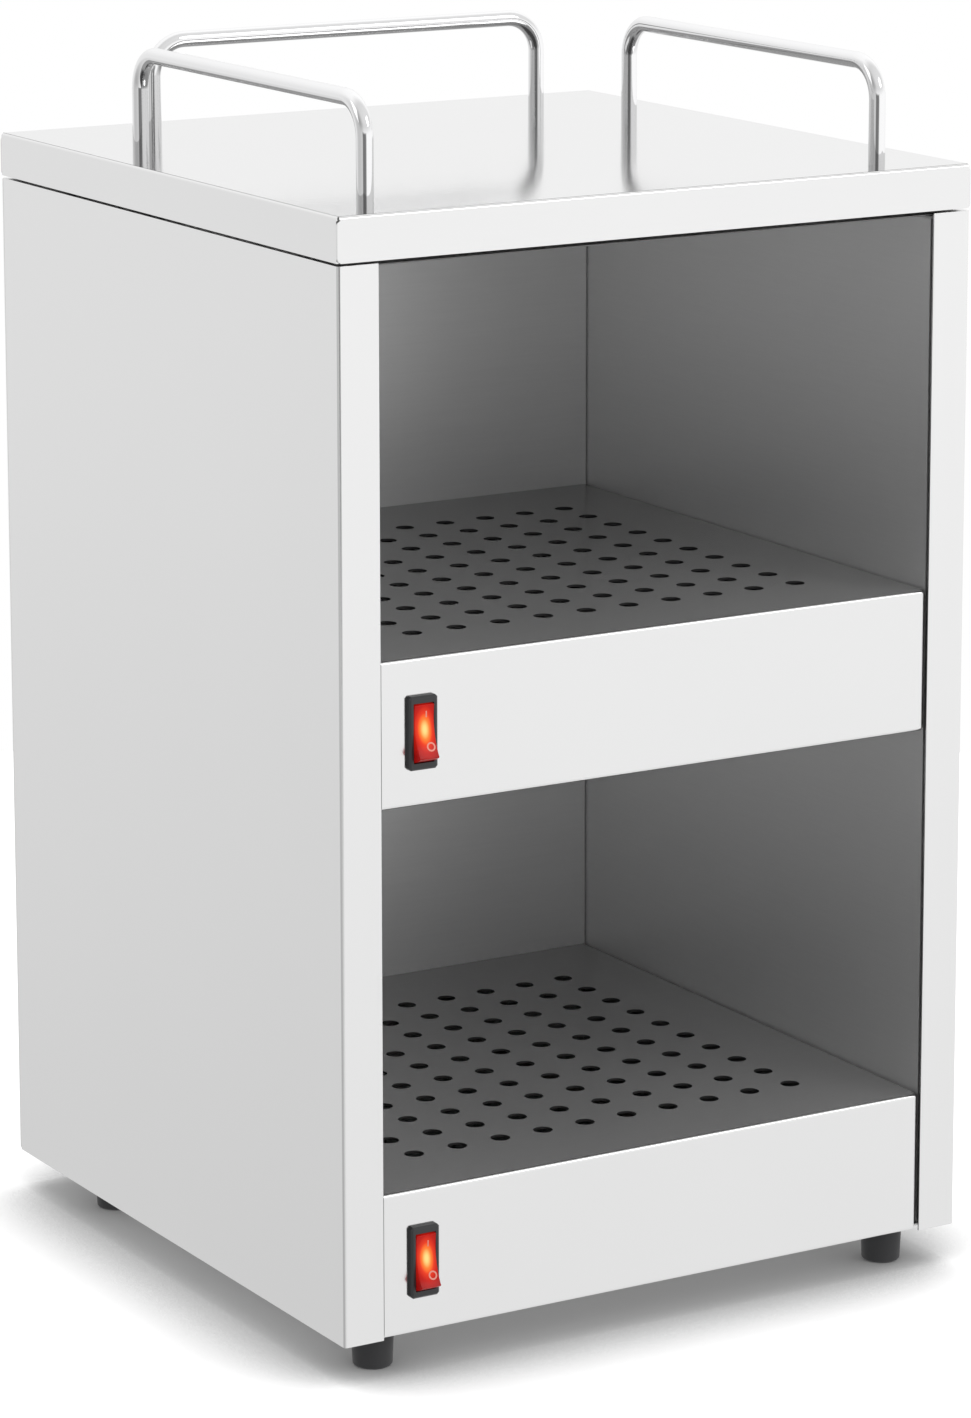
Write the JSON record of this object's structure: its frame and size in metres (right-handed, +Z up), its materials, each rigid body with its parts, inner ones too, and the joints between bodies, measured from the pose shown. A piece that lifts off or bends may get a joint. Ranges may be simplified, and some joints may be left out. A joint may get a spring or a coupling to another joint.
{
  "type": "cup warmer",
  "caption": "Free-standing steel cup warmer, open at the front, with heated perforated shelves, a lit rocker switch on each fascia and a tray lid with rod rails.",
  "frame": {"origin": "on the surface that the feet stand on, under the middle of the whole object's box", "axes": "+X to the right seen from the open front, +Y to the back, +Z up"},
  "size_m": [0.3, 0.3232, 0.5205],
  "materials": {
    "case_steel": "satin stainless sheet, folded",
    "inner_steel": "plain stainless sheet of the inner walls, shelves and floors",
    "rail_chrome": "polished rod",
    "fastener_zinc": "zinc plated screws, nuts and spacers",
    "foot_rubber": "matt moulded rubber",
    "switch_case": "moulded nylon, fine grain",
    "switch_rocker": "translucent red orange, lit from behind",
    "switch_plunger": "moulded acetal",
    "switch_contact": "stamped contact metal",
    "lamp_glass": "small neon lamp in a clear bulb",
    "heater_tube": "heat-darkened steel tube",
    "thermostat_case": "moulded phenolic",
    "terminal_plastic": "moulded polyamide",
    "gland_nylon": "moulded nylon",
    "gland_rubber": "soft seal"
  },
  "bodies": {
    "case": {"side_panel_left": "case_steel", "side_panel_right": "case_steel", "top_tray": "case_steel", "rear_cover": "case_steel", "base_plate": "inner_steel", "liner_left": "inner_steel", "liner_right": "inner_steel", "liner_back": "inner_steel", "ceiling_panel": "inner_steel", "upper_module_floor": "inner_steel", "lower_shelf_pan": "case_steel", "upper_shelf_pan": "case_steel", "rail_left": "rail_chrome", "rail_right": "rail_chrome", "rail_back": "rail_chrome", "rail_nuts": "fastener_zinc", "lid_standoffs": "fastener_zinc", "lid_screws": "fastener_zinc", "foot_screws": "fastener_zinc", "foot_nuts": "fastener_zinc", "base_screws": "fastener_zinc", "lower_pan_screws": "fastener_zinc", "upper_pan_screws": "fastener_zinc", "rear_cover_screws": "fastener_zinc", "foot_front_left": "foot_rubber", "foot_front_right": "foot_rubber", "foot_rear_left": "foot_rubber", "foot_rear_right": "foot_rubber", "lower_heater": "heater_tube", "upper_heater": "heater_tube", "lower_heater_clips": "fastener_zinc", "upper_heater_clips": "fastener_zinc", "lower_thermostat": "thermostat_case", "upper_thermostat": "thermostat_case", "terminal_block": "terminal_plastic", "gland_body": "gland_nylon", "gland_locknut": "gland_nylon", "gland_cap": "gland_nylon", "gland_seal": "gland_rubber", "lower_switch_housing": "switch_case", "upper_switch_housing": "switch_case", "lower_switch_terminals": "switch_contact", "upper_switch_terminals": "switch_contact", "lower_switch_lamp": "lamp_glass", "upper_switch_lamp": "lamp_glass"},
    "upper_rocker": {"upper_switch_rocker": "switch_rocker", "upper_switch_plunger": "switch_plunger"},
    "upper_lever": {"upper_switch_lever": "switch_contact"},
    "lower_rocker": {"lower_switch_rocker": "switch_rocker", "lower_switch_plunger": "switch_plunger"},
    "lower_lever": {"lower_switch_lever": "switch_contact"}
  },
  "joints": [
    {"name": "upper_rocker_pivot", "type": "hinge", "parent": "case", "child": "upper_rocker", "pos_m": [-0.1125, -0.15443, 0.26725], "axis": [1, 0, 0], "range_deg": [0, 22]},
    {"name": "upper_lever_pivot", "type": "hinge", "parent": "case", "child": "upper_lever", "pos_m": [-0.1125, -0.14413, 0.26725], "axis": [1, 0, 0], "range_deg": [-11, 0]},
    {"name": "lower_rocker_pivot", "type": "hinge", "parent": "case", "child": "lower_rocker", "pos_m": [-0.1125, -0.15443, 0.04725], "axis": [1, 0, 0], "range_deg": [0, 22]},
    {"name": "lower_lever_pivot", "type": "hinge", "parent": "case", "child": "lower_lever", "pos_m": [-0.1125, -0.14413, 0.04725], "axis": [1, 0, 0], "range_deg": [-11, 0]}
  ],
  "couplings": [
    {"joint": "upper_lever_pivot", "follows": "upper_rocker_pivot", "ratio": -0.5},
    {"joint": "lower_lever_pivot", "follows": "lower_rocker_pivot", "ratio": -0.5}
  ]
}
